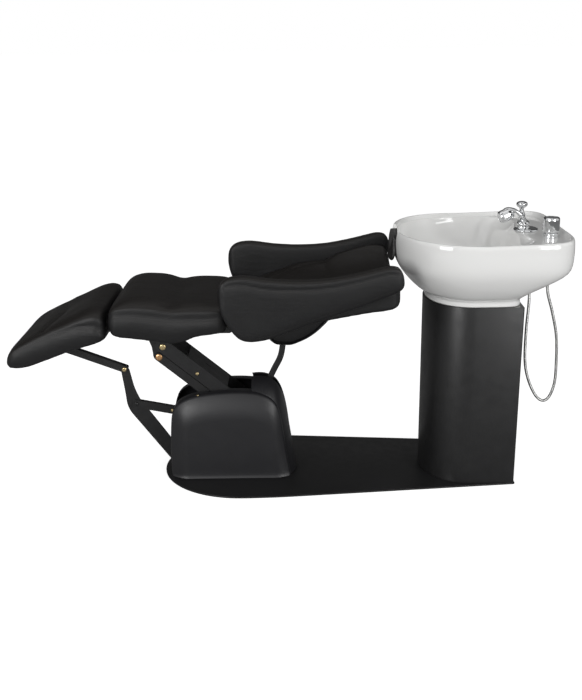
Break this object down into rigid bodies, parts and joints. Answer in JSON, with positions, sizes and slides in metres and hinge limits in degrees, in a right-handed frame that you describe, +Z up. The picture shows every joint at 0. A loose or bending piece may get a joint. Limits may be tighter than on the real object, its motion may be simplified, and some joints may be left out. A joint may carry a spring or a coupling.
{
  "type": "salon backwash unit",
  "caption": "Powered salon shampoo chair, shown reclined, and a ceramic backwash basin on a pedestal, on one floor plate; lift linkage, folding leg rest, mixer tap and pull-out hand shower.",
  "frame": {"origin": "underside of the floor plate, on its centre line, midway along its length", "axes": "+X from the chair to the basin, +Y to the reclined sitter's right, +Z up"},
  "size_m": [1.9391, 0.604, 0.994],
  "materials": {
    "black_steel": "satin",
    "black_plastic": "matte",
    "gloss_plastic": "gloss",
    "leatherette": "satin",
    "white_ceramic": "gloss",
    "black_rubber": "matte",
    "chrome": "polished",
    "zinc": "satin",
    "steel": "satin",
    "plywood": "matte",
    "grey_plastic": "satin"
  },
  "bodies": {
    "base": {"floor_plate": "black_steel", "lift_frame": "black_steel", "upper_arm_shaft": "zinc", "back_link_shaft": "zinc", "actuator_rear_pin": "zinc", "lower_arm_pin_left": "zinc", "lower_arm_pin_right": "zinc", "control_box": "grey_plastic", "legrest_post": "black_steel", "legrest_strut": "black_steel", "strut_outer_bolt": "black_steel", "strut_inner_bolt": "zinc", "leg_link_lower_pin": "zinc", "cover_left": "black_plastic", "cover_right": "black_plastic", "cover_rear": "black_plastic", "pedestal_shell": "black_steel", "pedestal_access_panel": "black_steel", "bowl_support_frame": "steel", "basin": "white_ceramic", "drain_flange": "chrome", "drain_trap": "grey_plastic", "mixer_body": "chrome", "vacuum_breaker": "chrome", "handshower_socket": "chrome", "spray_hose": "steel", "supply_hose_left": "steel", "supply_hose_right": "steel"},
    "upper_arm": {"lift_channel": "black_steel", "channel_cross_bolt": "zinc", "seat_upper_shaft": "zinc", "crank_pin": "zinc"},
    "lower_arms": {"lower_arm_left": "black_steel", "lower_arm_right": "black_steel"},
    "actuator": {"actuator_housing": "grey_plastic"},
    "actuator_ram": {"actuator_rod": "steel"},
    "seat": {"seat_frame": "black_steel", "seat_board": "plywood", "seat_cushion": "leatherette", "seat_lower_shaft": "zinc", "back_hinge_rod": "zinc", "leg_hinge_rod": "zinc"},
    "backrest": {"back_frame": "black_steel", "back_cushion": "leatherette", "wing_left": "leatherette", "wing_right": "leatherette", "back_shell": "gloss_plastic"},
    "back_link_arm": {"back_link": "black_steel", "back_link_upper_pin": "zinc"},
    "leg_rest": {"leg_frame": "black_steel", "leg_cushion": "leatherette"},
    "leg_link_arm": {"leg_link": "black_steel", "leg_link_upper_pin": "zinc"},
    "neck_support": {"neck_rest": "black_rubber"},
    "strainer": {"hair_strainer": "steel"},
    "temperature_ring": {"mixer_cap": "chrome"},
    "lever": {"mixer_lever": "chrome"},
    "shower_handset": {"hand_shower": "chrome"}
  },
  "joints": [
    {"name": "lift", "type": "hinge", "parent": "base", "child": "upper_arm", "pos_m": [-0.348, 0, 0.271], "axis": [0, -1, 0], "range_deg": [0, 24]},
    {"name": "lower_arm_swing", "type": "hinge", "parent": "base", "child": "lower_arms", "pos_m": [-0.365, 0, 0.229], "axis": [0, -1, 0], "range_deg": [0, 24.5]},
    {"name": "seat_level", "type": "hinge", "parent": "upper_arm", "child": "seat", "pos_m": [-0.623, 0, 0.504], "axis": [0, -1, 0], "range_deg": [-24.5, 0]},
    {"name": "backrest_recline", "type": "hinge", "parent": "seat", "child": "backrest", "pos_m": [-0.345, 0, 0.615], "axis": [0, -1, 0], "range_deg": [0, 46]},
    {"name": "back_link_swing", "type": "hinge", "parent": "base", "child": "back_link_arm", "pos_m": [-0.3, 0, 0.205], "axis": [0, -1, 0], "range_deg": [0, 8]},
    {"name": "leg_rest_fold", "type": "hinge", "parent": "seat", "child": "leg_rest", "pos_m": [-0.808, 0, 0.58], "axis": [0, -1, 0], "range_deg": [0, 35.5]},
    {"name": "leg_link_swing", "type": "hinge", "parent": "base", "child": "leg_link_arm", "pos_m": [-0.778, 0, 0.401], "axis": [0, -1, 0], "range_deg": [0, 56.5]},
    {"name": "actuator_tilt", "type": "hinge", "parent": "base", "child": "actuator", "pos_m": [-0.185, 0, 0.05], "axis": [0, -1, 0], "range_deg": [0, 2.2]},
    {"name": "actuator_stroke", "type": "slide", "parent": "actuator", "child": "actuator_ram", "axis": [-0.8482, 0, 0.5297], "range_m": [-0.046, 0]},
    {"name": "temperature_turn", "type": "hinge", "parent": "base", "child": "temperature_ring", "pos_m": [0.66, 0, 0.92], "axis": [0, 0, 1], "range_deg": [-40, 40]},
    {"name": "lever_lift", "type": "hinge", "parent": "temperature_ring", "child": "lever", "pos_m": [0.66, 0, 0.932], "axis": [0, 1, 0], "range_deg": [0, 20]},
    {"name": "handset_pull", "type": "slide", "parent": "base", "child": "shower_handset", "axis": [0, 0, 1], "range_m": [0, 0.15], "deforming": ["spray_hose"]},
    {"name": "neck_rest_lift", "type": "slide", "parent": "base", "child": "neck_support", "axis": [0, 0, 1], "range_m": [0, 0.08]},
    {"name": "strainer_lift", "type": "slide", "parent": "base", "child": "strainer", "axis": [0, 0, 1], "range_m": [0, 0.06]}
  ],
  "couplings": [
    {"joint": "lower_arm_swing", "follows": "lift", "ratio": 1},
    {"joint": "seat_level", "follows": "lift", "ratio": -1},
    {"joint": "backrest_recline", "follows": "lift", "ratio": 1.89},
    {"joint": "back_link_swing", "follows": "lift", "ratio": 0.325},
    {"joint": "leg_rest_fold", "follows": "lift", "ratio": 1.46},
    {"joint": "leg_link_swing", "follows": "lift", "ratio": 2.33},
    {"joint": "actuator_tilt", "follows": "lift", "ratio": 0.083},
    {"joint": "actuator_stroke", "follows": "lift", "m_per_rad": -0.1067}
  ]
}
